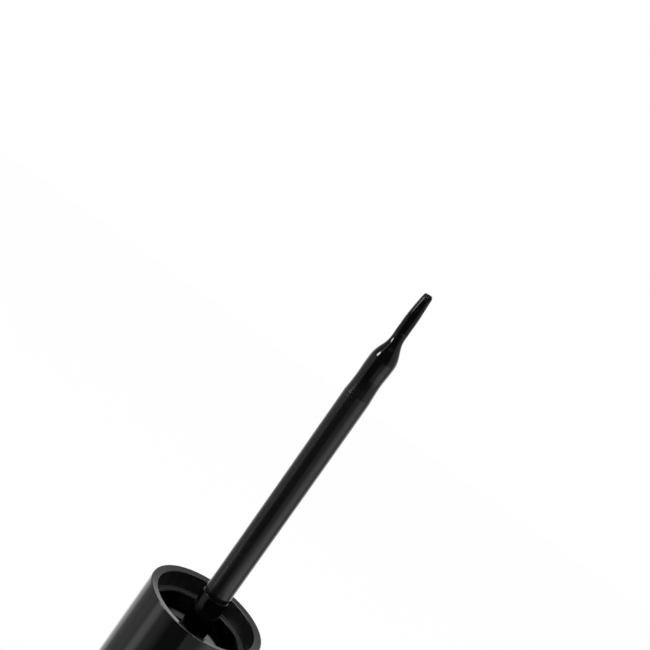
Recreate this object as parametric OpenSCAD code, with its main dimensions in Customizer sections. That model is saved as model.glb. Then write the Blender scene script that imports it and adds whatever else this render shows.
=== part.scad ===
// Applicator of a dip-type liquid eyeliner. A glossy cap is also the handle. A threaded
// insert is pressed into its mouth, and a moulded wand snaps into that insert. The brush
// tuft is trapped behind the wand's swaged nose. The part stands on the cap's closed end,
// with the brush pointing up along +Z and the origin at the centre of the foot.

/* [Cap shell] */
// Outside diameter of the cap
cap_d = 14.4; // [13.5:0.1:16]
// Height of the cap from its closed end to its lip
cap_h = 54; // [48:0.5:62]
// Wall of the cap at its mouth
lip_wall = 0.9; // [0.8:0.05:1.2]
// Thickness of the closed end
crown_t = 1.8; // [1.4:0.1:2.6]
// Rounding round the closed end
crown_r = 1.1; // [0.6:0.1:1.3]
// Rounding of the lip's edges
lip_r = 0.1; // [0.05:0.05:0.2]
// Fall of the lip's top face from its outside to its inside
lip_fall = 0.15; // [0.05:0.05:0.25]
// Ledge that the insert seats on, where the bore narrows
ledge_w = 0.35; // [0.25:0.05:0.5]
// Ribs down the deep bore
rib_n = 8; // [8:4:12]
// Thickness of one rib
rib_t = 0.9; // [0.7:0.1:1.1]
// Height of a rib from the wall of the deep bore
rib_h = 1.3; // [0.9:0.1:1.5]

/* [Threaded insert] */
// Depth of the insert's rim below the lip
rim_depth = 2.1; // [1.2:0.1:2.6]
// Wall of the insert round the bore that the bottle's neck screws into
insert_wall = 0.75; // [0.7:0.01:1.2]
// Depth of that bore from the rim to the floor
socket_h = 8.2; // [7:0.1:10]
// Thickness of the floor
floor_t = 1.2; // [1:0.1:1.6]
// Chamfer round the mouth of the bore
rim_chamfer = 0.15; // [0.05:0.05:0.25]
// Height of the plain band under the rim, above the splines
band_h = 1.4; // [1:0.1:2]
// Splines round the insert
spline_n = 24; // [16:4:32]
// Height of one spline
spline_h = 0.16; // [0.1:0.02:0.2]
// Width of one spline at its foot
spline_w = 0.5; // [0.4:0.05:0.7]
// Step by which the splines lie inside the plain band
band_step = 0.03; // [0.02:0.01:0.05]
// Part of the snap bead that stands out of the insert
bead_rise = 0.12; // [0.08:0.02:0.16]
// Wall of the sleeve that grips the wand's root
sleeve_wall = 1; // [0.8:0.1:1.2]
// Height of that sleeve below the floor
sleeve_h = 5.4; // [4:0.2:7]
// Thickness of the keys that straddle a rib
key_t = 0.7; // [0.6:0.1:0.9]

/* [Wand] */
// Diameter of the wand's root in the sleeve
root_d = 4.2; // [3.8:0.1:4.6]
// Step of the barb under the sleeve
barb_step = 0.3; // [0.2:0.05:0.4]
// Height of the barb
barb_h = 1.5; // [1.2:0.1:2]
// Slot that lets the barb close as it is pushed in
slot_w = 0.8; // [0.6:0.1:1]
// Space between the flange and the wall of the socket
flange_gap = 1.05; // [0.6:0.05:1.5]
// Thickness of the flange
flange_t = 0.9; // [0.7:0.1:1.2]
// Diameter of the collar that plugs the wiper
collar_d = 3.24; // [3.22:0.02:3.8]
// Height of the collar's top over the lip
collar_rise = 2.2; // [1.4:0.1:3.4]
// Height of the cone from the collar to the rod
collar_cone = 0.4; // [0.2:0.05:0.6]
// Diameter of the rod at the collar
rod_foot_d = 3.06; // [2.9:0.02:3.2]
// Diameter of the rod at its shoulder edge
rod_end_d = 3.2; // [3.12:0.02:3.36]
// Height of the shoulder edge over the lip
rod_reach = 28.6; // [24:0.1:34]
// Diameter at the waist
waist_d = 2.94; // [2.8:0.02:2.98]
// Height from the shoulder edge to the waist
waist_h = 2.2; // [1.6:0.1:3]
// Diameter of the bulb
bulb_d = 3.05; // [2.98:0.01:3.1]
// Height from the waist to the widest part of the bulb
bulb_h = 1.8; // [1.2:0.1:2.2]
// Height of the widest part
bulb_land = 0.3; // [0.1:0.1:1]
// Diameter of the swaged nose
nose_d = 1.5; // [1.3:0.01:1.6]
// Height of the ogee from the bulb to the nose
nose_h = 3.8; // [3:0.1:4.6]
// Height of the straight end of the nose
nose_land = 0.3; // [0.2:0.05:0.6]
// Wall of the nose where it grips the tuft
nose_wall = 0.13; // [0.1:0.01:0.16]
// Bore that holds the tuft's root
tuft_bore_d = 1.8; // [1.6:0.05:2]
// Depth of that bore below the ogee
tuft_bore_h = 3.8; // [3:0.1:5]

/* [Brush tuft] */
// Height of the fused root
plug_h = 1.6; // [1.2:0.1:2.2]
// Diameter of the tuft just past the nose
belly_d = 1.47; // [1.38:0.01:1.54]
// Height of the belly over the nose's end
belly_h = 1.6; // [1:0.1:2]
// Diameter of the tuft at its tip
tip_d = 1; // [0.9:0.01:1.1]
// Height of the tuft over the nose's end
tuft_h = 4.95; // [4:0.05:6]
// Rings of filaments round the middle one
filament_rings = 10; // [10:1:12]
// Difference between the longest and shortest filaments
tip_jag = 0.4; // [0.1:0.05:0.6]

/* [Gasket] */
// Thickness of the gasket
gasket_t = 0.8; // [0.6:0.1:1.2]

/* [Fits] */
// Clearance of the insert in the cap, on the radius
insert_fit = 0.03; // [0.02:0.01:0.05]
// Clearance of the wand's root in its sleeve, on the radius
root_fit = 0.03; // [0.02:0.01:0.06]
// Clearance of the keys beside a rib
key_fit = 0.06; // [0.04:0.01:0.1]
// Clearance of the gasket round the collar and in the socket
gasket_fit = 0.05; // [0.03:0.01:0.1]
// Clearance of the tuft's root in its bore, on the radius
tuft_fit = 0.03; // [0.02:0.01:0.05]

/* [Hidden] */
$fn = 96;
// Depth by which a cut runs past the face that it opens
overrun = 0.5;
// Depth by which a rib or key is sunk into the wall that carries it
root_in = 0.2;

cap_r = cap_d / 2;
mouth_r = cap_r - lip_wall;
deep_r = mouth_r - ledge_w;
rim_z = cap_h - rim_depth;
floor_z = rim_z - socket_h;
seat_z = floor_z - floor_t;
insert_r = mouth_r - insert_fit;
socket_r = insert_r - insert_wall;
spline_top_r = insert_r - band_step;
spline_r = spline_top_r - spline_h;
// Height of the snap bead, in the middle of the insert's wall
bead_z = (seat_z + rim_z) / 2;
// Radius of the bead's own round section
bead_r = 0.3;
root_r = root_d / 2;
sleeve_bore_r = root_r + root_fit;
sleeve_r = sleeve_bore_r + sleeve_wall;
sleeve_z = seat_z - sleeve_h;
// Angle between two ribs
rib_step = 360 / rib_n;
// Ribs that a pair of keys straddles
keyed_n = 4;
rib_in_r = deep_r - rib_h;

collar_r = collar_d / 2;
flange_r = socket_r - flange_gap;
flange_z = floor_z + flange_t;
gasket_z = flange_z + gasket_t;
collar_z = cap_h + collar_rise;
shoulder_z = cap_h + rod_reach;
waist_z = shoulder_z + waist_h;
bulb_z = waist_z + bulb_h;
ogee_z = bulb_z + bulb_land;
nose_z = ogee_z + nose_h;
nose_end_z = nose_z + nose_land;
throat_r = nose_d / 2 - nose_wall;
tuft_bore_r = tuft_bore_d / 2;
tuft_floor_z = ogee_z - tuft_bore_h;
barb_z = sleeve_z - barb_h;
// Share of the barb's height that its square back takes
barb_back_share = 0.25;
// Share of the root's radius left at the barb's point
barb_point_share = 0.6;
// Share of the root's height that the slot reaches
slot_share = 0.8;
// Steps along each curve of the wand's outline
curve_steps = 8;
// Steps along the swaged stretch
swage_steps = 12;

plug_r = tuft_bore_r - tuft_fit;
plug_z = tuft_floor_z + tuft_fit;
plug_top_z = plug_z + plug_h;
belly_z = nose_end_z + belly_h;
tip_z = nose_end_z + tuft_h;
// Share of the plug's radius that the outermost filaments start on
plug_fill_share = 0.93;
// Share of a filament's pitch that its own width takes, over the circle round it
filament_share = 0.92;
// Share by which a filament narrows towards its tip
filament_taper_share = 0.14;
// Sides of one filament
filament_sides = 3;
// Clumps that the wet tip parts into
clump_n = 3;
// Depth by which a filament is fused into the plug
fuse_in = 0.12;

echo(height = tip_z, filaments = len(filaments));

// A value between a and b, eased at both ends, for t from 0 to 1
function ease(a, b, t) = a + (b - a) * (1 - cos(180 * t)) / 2;
// A value between a and b that starts steeply and settles at b
function settle(a, b, t) = b + (a - b) * pow(1 - t, 1.5);
// A value between a and b that bends in gently, runs steeply and bends out gently
function swage(a, b, t) = a + (b - a) * (t - sin(360 * t) / (2 * PI));
// Points of one stretch of an outline, from [r0, z0] to [r1, z1]
function eased_points(r0, z0, r1, z1) =
    [for (i = [0 : curve_steps]) let(t = i / curve_steps) [ease(r0, r1, t), z0 + (z1 - z0) * t]];
function settled_points(r0, z0, r1, z1) =
    [for (i = [0 : curve_steps]) let(t = i / curve_steps) [settle(r0, r1, t), z0 + (z1 - z0) * t]];
function swaged_points(r0, z0, r1, z1) =
    [for (i = [0 : swage_steps]) let(t = i / swage_steps) [swage(r0, r1, t), z0 + (z1 - z0) * t]];

// Section of the cap shell, turned round the axis
module cap_section() {
    difference() {
        union() {
            translate([0, crown_r]) square([cap_r, cap_h - crown_r - lip_r]);
            square([cap_r - crown_r, cap_h - lip_r]);
            translate([cap_r - crown_r, crown_r]) circle(crown_r);
            square([cap_r - lip_r, cap_h]);
            translate([cap_r - lip_r, cap_h - lip_r]) circle(lip_r);
        }
        translate([0, crown_t]) square([deep_r, cap_h]);
        translate([0, seat_z]) square([mouth_r, cap_h]);
        lip_slope();
        translate([insert_r + bead_rise - bead_r, bead_z]) circle(bead_r + insert_fit);
        translate([-cap_r, -overrun]) square([cap_r, cap_h + 2 * overrun]);
    }
}

// What comes off the lip's top, so that it falls towards the mouth and ends in a small rounding
module lip_slope() {
    slope = atan(lip_fall / (lip_wall - lip_r));
    edge_z = cap_h - lip_fall;
    round_z = edge_z + lip_r * tan(slope) - lip_r / cos(slope);
    difference() {
        polygon([
            [mouth_r - overrun, round_z],
            [mouth_r + lip_r, round_z],
            [mouth_r + lip_r - lip_r * sin(slope), round_z + lip_r * cos(slope)],
            [cap_r - lip_r, cap_h],
            [cap_r - lip_r, cap_h + overrun],
            [mouth_r - overrun, cap_h + overrun]
        ]);
        translate([mouth_r + lip_r, round_z]) circle(lip_r);
    }
}

// Ribs down the deep bore, which the insert seats on and its keys straddle
module cap_ribs() {
    for (i = [0 : rib_n - 1]) {
        rotate(i * rib_step)
            translate([rib_in_r, -rib_t / 2, crown_t - root_in])
                cube([rib_h + root_in, rib_t, seat_z - crown_t + root_in]);
    }
}

module outer_cap() {
    color("#161617") {
        rotate_extrude() cap_section();
        cap_ribs();
    }
}

// Section of the insert: the threaded socket, its floor and the sleeve for the wand
module insert_section() {
    difference() {
        union() {
            translate([0, seat_z]) square([spline_r, rim_z - seat_z]);
            translate([0, rim_z - band_h]) square([insert_r, band_h]);
            translate([0, sleeve_z]) square([sleeve_r, seat_z - sleeve_z + root_in]);
            translate([insert_r + bead_rise - bead_r, bead_z]) circle(bead_r);
        }
        translate([0, floor_z]) square([socket_r, socket_h + overrun]);
        polygon([
            [socket_r - rim_chamfer, rim_z - 2 * rim_chamfer],
            [socket_r + 2 * rim_chamfer, rim_z + rim_chamfer],
            [socket_r - rim_chamfer, rim_z + rim_chamfer]
        ]);
        translate([0, sleeve_z - overrun]) square([sleeve_bore_r, cap_h]);
    }
}

// Splines that bite into the cap's bore
module insert_splines() {
    spline_top = rim_z - band_h;
    for (i = [0 : spline_n - 1]) {
        rotate(i * 360 / spline_n)
            translate([0, 0, seat_z])
                linear_extrude(spline_top - seat_z + root_in)
                    polygon([
                        [spline_r - root_in, -spline_w / 2],
                        [spline_r, -spline_w / 2],
                        [spline_top_r, 0],
                        [spline_r, spline_w / 2],
                        [spline_r - root_in, spline_w / 2]
                    ]);
    }
}

// Pairs of keys on the sleeve, one on each side of a rib
module insert_keys() {
    key_near = rib_t / 2 + key_fit;
    key_far = key_near + key_t;
    key_in = sqrt(pow(sleeve_r, 2) - pow(key_far, 2)) - root_in;
    key_out = sqrt(pow(deep_r - key_fit, 2) - pow(key_far, 2));
    for (i = [0 : keyed_n - 1], side = [0, 1]) {
        rotate(i * 360 / keyed_n)
            mirror([0, side, 0])
                translate([key_in, key_near, sleeve_z])
                    cube([key_out - key_in, key_t, seat_z - sleeve_z + root_in]);
    }
}

module thread_insert() {
    color("#1c1c1e") {
        rotate_extrude() insert_section();
        insert_splines();
        insert_keys();
    }
}

// Soft washer on the wand's flange, which the rim of the neck closes on
module neck_gasket() {
    color("#3a3a3c")
        translate([0, 0, flange_z])
            difference() {
                cylinder(h = gasket_t, r = socket_r - gasket_fit);
                translate([0, 0, -overrun])
                    cylinder(h = gasket_t + 2 * overrun, r = collar_r + gasket_fit);
            }
}

// Outline of the wand from the barb to the nose, on the right of the axis
function wand_outline() = concat(
    [
        [0, barb_z],
        [root_r * barb_point_share, barb_z],
        [root_r + barb_step, sleeve_z - barb_h * barb_back_share],
        [root_r + barb_step, sleeve_z],
        [root_r, sleeve_z],
        [root_r, floor_z],
        [flange_r, floor_z],
        [flange_r, flange_z],
        [collar_r, flange_z],
        [collar_r, collar_z - collar_cone],
        [rod_foot_d / 2, collar_z]
    ],
    settled_points(rod_end_d / 2, shoulder_z, waist_d / 2, waist_z),
    eased_points(waist_d / 2, waist_z, bulb_d / 2, bulb_z),
    swaged_points(bulb_d / 2, ogee_z, nose_d / 2, nose_z),
    [[nose_d / 2, nose_end_z], [0, nose_end_z]]
);

// Outline of the bore for the tuft, which the nose closes to its throat
function tuft_bore_outline() = concat(
    [[0, tuft_floor_z], [tuft_bore_r, tuft_floor_z]],
    swaged_points(tuft_bore_r, ogee_z, throat_r, nose_z),
    [[throat_r, nose_end_z + overrun], [0, nose_end_z + overrun]]
);

module wand() {
    slot_h = (floor_z - barb_z) * slot_share;
    color("#232325")
        difference() {
            rotate_extrude() polygon(wand_outline());
            rotate_extrude() polygon(tuft_bore_outline());
            translate([-root_d, -slot_w / 2, barb_z - overrun])
                cube([2 * root_d, slot_w, slot_h + overrun]);
        }
}

// Places of the filaments in rings round the middle one, as shares of the tuft's radius
filaments = concat([[0, 0]], [
    for (ring = [1 : filament_rings], i = [0 : 6 * ring - 1])
        let(a = 360 * i / (6 * ring)) [ring / filament_rings, a]
]);
// Pitch of the filaments, as a share of the tuft's radius
pitch_share = 1 / (filament_rings + 0.5);

// Radius of the middle of the outermost filaments at one of the four stations
function tuft_r(station) =
    (station == 0 ? plug_r * plug_fill_share
    : station == 1 ? throat_r - tuft_fit
    : station == 2 ? belly_d / 2
    : tip_d / 2) * filament_rings / (filament_rings + 0.5);

// Height where a filament ends: the wet tip parts into clumps with uneven ends
function filament_top(place) =
    tip_z - tip_jag * place[0] * (1 - abs(cos(place[1] * clump_n / 2)));

// Corners of one filament at one station
function filament_ring(place, station) =
    let(
        open_r = tuft_r(station),
        z = station == 0 ? plug_top_z - fuse_in
            : station == 1 ? nose_z
            : station == 2 ? belly_z
            : filament_top(place),
        wide = open_r * pitch_share / 2 * filament_share * (1 - filament_taper_share * station / 3)
    )
    [for (k = [0 : filament_sides - 1])
        let(b = place[1] + 360 * k / filament_sides)
        [open_r * place[0] * cos(place[1]) + wide * cos(b),
         open_r * place[0] * sin(place[1]) + wide * sin(b), z]];

// One filament from the fused root to its tip
module filament(place) {
    n = filament_sides;
    corners = [for (s = [0 : 3]) each filament_ring(place, s)];
    sides = [for (s = [0 : 2], k = [0 : n - 1]) each [
        [s * n + k, (s + 1) * n + k, (s + 1) * n + (k + 1) % n],
        [s * n + k, (s + 1) * n + (k + 1) % n, s * n + (k + 1) % n]
    ]];
    polyhedron(corners, concat(sides, [[0, 1, 2], [3 * n + 2, 3 * n + 1, 3 * n]]), convexity = 2);
}

module brush_tuft() {
    color("#0b0b0c") {
        translate([0, 0, plug_z]) cylinder(h = plug_h, r = plug_r, $fn = 12);
        for (place = filaments) filament(place);
    }
}

outer_cap();
thread_insert();
neck_gasket();
wand();
brush_tuft();
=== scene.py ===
"""Looks of a dip-type liquid eyeliner applicator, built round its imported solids.

The applicator stands on the closed end of its cap, with the brush up along +Z. Lengths
are written in millimetres, measured from the cap's lip where a name says "over", and
each class turns them into metres as it builds its mesh. Materials are in metres.
"""

import logging
import math
from collections.abc import Callable
from dataclasses import dataclass, field
from enum import Enum

import bmesh
import bpy
from mathutils import Matrix, Vector


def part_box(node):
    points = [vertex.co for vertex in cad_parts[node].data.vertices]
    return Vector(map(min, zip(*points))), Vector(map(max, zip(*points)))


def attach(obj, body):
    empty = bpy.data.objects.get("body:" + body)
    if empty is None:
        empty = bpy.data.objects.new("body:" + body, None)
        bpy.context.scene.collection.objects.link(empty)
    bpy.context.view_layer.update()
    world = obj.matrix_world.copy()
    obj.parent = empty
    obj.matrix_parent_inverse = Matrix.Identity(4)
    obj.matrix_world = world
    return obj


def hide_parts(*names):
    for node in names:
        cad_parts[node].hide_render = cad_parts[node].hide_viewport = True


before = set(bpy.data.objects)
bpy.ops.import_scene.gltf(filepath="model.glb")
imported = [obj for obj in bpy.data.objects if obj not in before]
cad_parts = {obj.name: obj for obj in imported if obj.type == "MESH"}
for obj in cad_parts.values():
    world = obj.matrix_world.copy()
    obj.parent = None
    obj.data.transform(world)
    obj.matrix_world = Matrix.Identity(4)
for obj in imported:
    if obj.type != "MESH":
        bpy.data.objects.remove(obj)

MM = 0.001
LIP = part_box("outer_cap")[1].z / MM
BODY = "root"
# Kinds of the node groups' sockets that aren't plain numbers
SOCKET_KINDS = {
    "Count": "Int",
    "Seed": "Int",
    "Direction": "Vector",
    "Material": "Material",
    "Geometry": "Geometry",
}
# Radius in millimetres under which a point of an outline lies on the axis
ON_AXIS = 1e-6
WHITE = (1.0, 1.0, 1.0)
log = logging.getLogger("applicator")

Colour = tuple[float, float, float]
Point2 = tuple[float, float]
Socket = bpy.types.NodeSocket


class Slot(Enum):
    """Names of the record's material slots, which the pieces here don't use."""

    INSERT = "insert_plastic"
    WAND = "wand_satin"
    TUFT = "tuft_wet"


def part_way(value: float, low: float, high: float) -> float:
    """Share of the way from low to high, kept from 0 to 1."""
    return min(max((value - low) / (high - low), 0.0), 1.0)


def even(a: float, b: float, t: float) -> float:
    """Value on a straight line from a to b."""
    return a + (b - a) * t


def ease(a: float, b: float, t: float) -> float:
    """Value between a and b, eased at both ends.

    Args:
        a: Value at t = 0.
        b: Value at t = 1.
        t: Share of the way.

    Returns:
        The eased value.
    """
    return a + (b - a) * (1 - math.cos(math.pi * t)) / 2


def eased_way(value: float, low: float, high: float) -> float:
    """Share of the way from low to high, kept from 0 to 1 and eased at both ends."""
    return ease(0.0, 1.0, part_way(value, low, high))


def settle(a: float, b: float, t: float) -> float:
    """Value that leaves a steeply and settles at b.

    Args:
        a: Value at t = 0.
        b: Value at t = 1.
        t: Share of the way.

    Returns:
        The settled value.
    """
    return b + (a - b) * (1 - t) ** 1.5


def swage(a: float, b: float, t: float) -> float:
    """Value that bends in gently, runs steeply and bends out gently.

    Args:
        a: Value at t = 0.
        b: Value at t = 1.
        t: Share of the way.

    Returns:
        The value between them.
    """
    return a + (b - a) * (t - math.sin(2 * math.pi * t) / (2 * math.pi))


def arc(cx: float, cy: float, r: float, start: float, stop: float, steps: int) -> list[Point2]:
    """Points along an arc.

    Args:
        cx: Centre, across.
        cy: Centre, up.
        r: Radius.
        start: First angle in degrees.
        stop: Last angle in degrees.
        steps: Number of steps.

    Returns:
        The points, both ends included.
    """
    angles = [math.radians(start + (stop - start) * i / steps) for i in range(steps + 1)]
    return [(cx + r * math.cos(a), cy + r * math.sin(a)) for a in angles]


def braced(outline: list[Point2], margin: float) -> list[Point2]:
    """Adds a point near both ends of each long stretch, so that corners stay crisp when shaded smooth.

    Args:
        outline: Points (radius, height).
        margin: Distance of an added point from its corner. A stretch over four of it is long.

    Returns:
        The points with those added.
    """
    points = [outline[0]]
    for (r0, z0), (r1, z1) in zip(outline, outline[1:]):
        length = math.hypot(r1 - r0, z1 - z0)
        if length > 4 * margin:
            share = margin / length
            points.append((r0 + (r1 - r0) * share, z0 + (z1 - z0) * share))
            points.append((r1 + (r0 - r1) * share, z1 + (z0 - z1) * share))
        points.append((r1, z1))
    return points


def link_new(name: str, data: bpy.types.ID) -> bpy.types.Object:
    """Makes an object of its data and links it to the scene."""
    made = bpy.data.objects.new(name, data)
    bpy.context.scene.collection.objects.link(made)
    return made


def link_mesh(name: str, bm: bmesh.types.BMesh, outwards: bool = True) -> bpy.types.Object:
    """Makes a smooth-shaded object of a finished mesh.

    Args:
        name: Name of the piece.
        bm: The mesh, which is freed.
        outwards: Whether the normals are worked out again.

    Returns:
        The object, linked to the scene at the origin.
    """
    if outwards:
        bmesh.ops.recalc_face_normals(bm, faces=bm.faces)
    mesh = bpy.data.meshes.new(name)
    bm.to_mesh(mesh)
    bm.free()
    mesh.shade_smooth()
    return link_new(name, mesh)


def lathe(
    outline: list[Point2],
    steps: int,
    bend: Callable[[float], Point2] | None = None,
    swell: Callable[[float, float], float] | None = None,
    closed: bool = False,
) -> bmesh.types.BMesh:
    """Turns an outline round the Z axis.

    Args:
        outline: Points (radius, height) in millimetres.
        steps: Number of steps round the axis.
        bend: Shift of the axis in X and Y at a height, in millimetres.
        swell: Amount in millimetres added to the radius at a height and an angle.
        closed: Whether the outline's ends meet, as on a ring.

    Returns:
        The mesh, in metres.
    """
    bm = bmesh.new()
    rings = []
    for r, z in outline:
        dx, dy = bend(z) if bend else (0.0, 0.0)
        if r < ON_AXIS:
            rings.append([bm.verts.new((dx * MM, dy * MM, z * MM))])
            continue
        ring = []
        for k in range(steps):
            a = 2 * math.pi * k / steps
            rk = r + (swell(z, a) if swell else 0.0)
            x, y = rk * math.cos(a) + dx, rk * math.sin(a) + dy
            ring.append(bm.verts.new((x * MM, y * MM, z * MM)))
        rings.append(ring)
    pairs = list(zip(rings, rings[1:] + rings[:1] if closed else rings[1:]))
    for low, high in pairs:
        for k in range(steps):
            n = (k + 1) % steps
            corners = [low[k % len(low)], low[n % len(low)], high[n % len(high)], high[k % len(high)]]
            kept = list(dict.fromkeys(corners))
            if len(kept) > 2:
                bm.faces.new(kept)
    return bm


class Tree:
    """Short hand for a node tree: makes nodes and joins them."""

    def __init__(self, tree: bpy.types.NodeTree) -> None:
        """Keeps the tree that the nodes go into."""
        self.tree = tree

    def node(self, kind: str, **values: object) -> bpy.types.Node:
        """Makes one node and sets its properties.

        Args:
            kind: Blender's name of the node type.
            **values: Properties of the node.

        Returns:
            The new node.
        """
        made = self.tree.nodes.new(kind)
        for name, value in values.items():
            setattr(made, name, value)
        return made

    def join(self, source: Socket, target: Socket) -> None:
        """Joins an output to an input."""
        self.tree.links.new(source, target)

    def feed(self, target: Socket, value: object) -> None:
        """Sets an input, or joins it where the value is a socket. A colour gets its alpha here."""
        if isinstance(value, bpy.types.NodeSocket):
            self.join(value, target)
        elif target.type == "RGBA":
            target.default_value = (*value, 1.0)
        else:
            target.default_value = value

    def math(self, operation: str, a: object, b: object = 0.0, c: object = 0.0) -> Socket:
        """Makes one Math node.

        Args:
            operation: Blender's name of the operation.
            a: First value or socket.
            b: Second value or socket.
            c: Third value or socket.

        Returns:
            The result's socket.
        """
        made = self.node("ShaderNodeMath", operation=operation)
        for target, value in zip(made.inputs, (a, b, c)):
            self.feed(target, value)
        return made.outputs[0]

    def ramp(self, value: object, low: float, high: float, to: Point2 = (0.0, 1.0)) -> Socket:
        """Maps a value from one range to another with smooth ends.

        Args:
            value: Value or socket.
            low: Value that gives the first end of the new range.
            high: Value that gives the second end.
            to: The new range.

        Returns:
            The result's socket.
        """
        made = self.node("ShaderNodeMapRange", interpolation_type="SMOOTHSTEP")
        self.feed(made.inputs["Value"], value)
        made.inputs["From Min"].default_value = low
        made.inputs["From Max"].default_value = high
        made.inputs["To Min"].default_value = to[0]
        made.inputs["To Max"].default_value = to[1]
        return made.outputs["Result"]

    def span(self, value: Socket, low: Socket, high: Socket) -> Socket:
        """Share of the way from low to high, kept from 0 to 1."""
        made = self.node("ShaderNodeMapRange", clamp=True)
        for label, socket in (("Value", value), ("From Min", low), ("From Max", high)):
            self.join(socket, made.inputs[label])
        return made.outputs["Result"]

    def blend(self, kind: str, mask: Socket, a: object, b: object) -> Socket:
        """Blends two values or two colours by a mask.

        Args:
            kind: FLOAT for values, RGBA for colours.
            mask: Share of the second one.
            a: The first one, or its socket.
            b: The second one, or its socket.

        Returns:
            The result's socket.
        """
        made = self.node("ShaderNodeMix", data_type=kind)
        self.join(mask, made.inputs["Factor"])
        self.feed(made.inputs["A"], a)
        self.feed(made.inputs["B"], b)
        return made.outputs["Result"]

    def noise(self, vector: Socket, scale: object, detail: float = 2.0, rough: float = 0.5) -> Socket:
        """Makes a noise texture.

        Args:
            vector: Coordinates in metres.
            scale: Waves to the metre, or their socket.
            detail: Number of octaves.
            rough: Strength of the finer octaves.

        Returns:
            The factor's socket.
        """
        made = self.node("ShaderNodeTexNoise")
        self.join(vector, made.inputs["Vector"])
        self.feed(made.inputs["Scale"], scale)
        made.inputs["Detail"].default_value = detail
        made.inputs["Roughness"].default_value = rough
        return made.outputs["Fac"]

    def place(self, scale: tuple[float, float, float] = (1.0, 1.0, 1.0)) -> Socket:
        """Object coordinates, stretched by a scale.

        Args:
            scale: Factor along each axis.

        Returns:
            The vector's socket.
        """
        coordinates = self.node("ShaderNodeTexCoord")
        mapping = self.node("ShaderNodeMapping")
        self.join(coordinates.outputs["Object"], mapping.inputs["Vector"])
        mapping.inputs["Scale"].default_value = scale
        return mapping.outputs["Vector"]

    def axes(self, vector: Socket | None = None) -> bpy.types.NodeOutputs:
        """Splits a vector, or else the object coordinates, into the outputs X, Y and Z."""
        split = self.node("ShaderNodeSeparateXYZ")
        self.join(self.place() if vector is None else vector, split.inputs[0])
        return split.outputs

    def vector(self, x: object, y: object, z: object) -> Socket:
        """Joins three values or sockets to a vector."""
        made = self.node("ShaderNodeCombineXYZ")
        for target, value in zip(made.inputs, (x, y, z)):
            self.feed(target, value)
        return made.outputs[0]

    def group(self, group: bpy.types.ShaderNodeTree, **values: object) -> bpy.types.NodeOutputs:
        """Places a shader node group.

        Args:
            group: The group.
            **values: Values or sockets of its inputs.

        Returns:
            The group's outputs.
        """
        made = self.node("ShaderNodeGroup", node_tree=group)
        for label, value in values.items():
            self.feed(made.inputs[label], value)
        return made.outputs

    def relief(self, shader: bpy.types.Node, height: Socket, depth: float, strength: float) -> None:
        """Feeds a height to a shader's normal.

        Args:
            shader: The shader.
            height: Height's socket.
            depth: Depth of the relief in metres.
            strength: Strength of the bump.
        """
        bump = self.node("ShaderNodeBump")
        bump.inputs["Distance"].default_value = depth
        bump.inputs["Strength"].default_value = strength
        self.join(height, bump.inputs["Height"])
        self.join(bump.outputs["Normal"], shader.inputs["Normal"])

    def sweep(self, path: Socket, section: Socket, scale: Socket, material: Socket) -> Socket:
        """Sweeps a section along curves and gives the mesh its material.

        Args:
            path: The curves.
            section: The section's curve.
            scale: Size of the section along the curves.
            material: The material.

        Returns:
            The geometry's socket.
        """
        thick = self.node("GeometryNodeSetCurveRadius")
        self.join(path, thick.inputs["Curve"])
        self.join(scale, thick.inputs["Radius"])
        tube = self.node("GeometryNodeCurveToMesh")
        self.join(thick.outputs["Curve"], tube.inputs["Curve"])
        self.join(section, tube.inputs["Profile Curve"])
        tube.inputs["Fill Caps"].default_value = True
        if "Scale" in tube.inputs:
            self.join(scale, tube.inputs["Scale"])
        real = self.node("GeometryNodeRealizeInstances")
        self.join(tube.outputs["Mesh"], real.inputs["Geometry"])
        paint = self.node("GeometryNodeSetMaterial")
        self.join(real.outputs["Geometry"], paint.inputs["Geometry"])
        self.join(material, paint.inputs["Material"])
        return paint.outputs["Geometry"]


def new_group(
    name: str, kind: str, inputs: tuple[str, ...], outputs: tuple[str, ...]
) -> tuple[Tree, dict[str, Socket], dict[str, Socket]]:
    """Starts a node group.

    Args:
        name: Name of the group.
        kind: Shader or Geometry.
        inputs: Names of its inputs. A name that SOCKET_KINDS doesn't hold is a plain number's.
        outputs: Names of its outputs.

    Returns:
        The tree, its input sockets by name and its output sockets by name.
    """
    group = bpy.data.node_groups.new(name, kind + "NodeTree")
    for way, labels in (("INPUT", inputs), ("OUTPUT", outputs)):
        for label in labels:
            socket_type = "NodeSocket" + SOCKET_KINDS.get(label, "Float")
            group.interface.new_socket(label, in_out=way, socket_type=socket_type)
    tree = Tree(group)
    entry = tree.node("NodeGroupInput")
    leave = tree.node("NodeGroupOutput")
    return tree, {s.name: s for s in entry.outputs}, {s.name: s for s in leave.inputs}


def bake(name: str, group: bpy.types.GeometryNodeTree, values: dict[str, object]) -> bpy.types.Object:
    """Runs a geometry node group on a carrier and keeps the mesh that it makes.

    Args:
        name: Name of the piece.
        group: The group.
        values: Values of its inputs by name.

    Returns:
        The piece at the origin, smooth shaded.
    """
    carrier = link_new(name + "_carrier", bpy.data.meshes.new(name + "_carrier"))
    modifier = carrier.modifiers.new(name, "NODES")
    modifier.node_group = group
    sockets = {item.name: item.identifier for item in group.interface.items_tree if item.in_out == "INPUT"}
    for label, value in values.items():
        modifier[sockets[label]] = value
    bpy.context.view_layer.update()
    graph = bpy.context.evaluated_depsgraph_get()
    mesh = bpy.data.meshes.new_from_object(carrier.evaluated_get(graph))
    mesh.name = name
    bpy.data.objects.remove(carrier)
    mesh.shade_smooth()
    return link_new(name, mesh)


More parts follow.
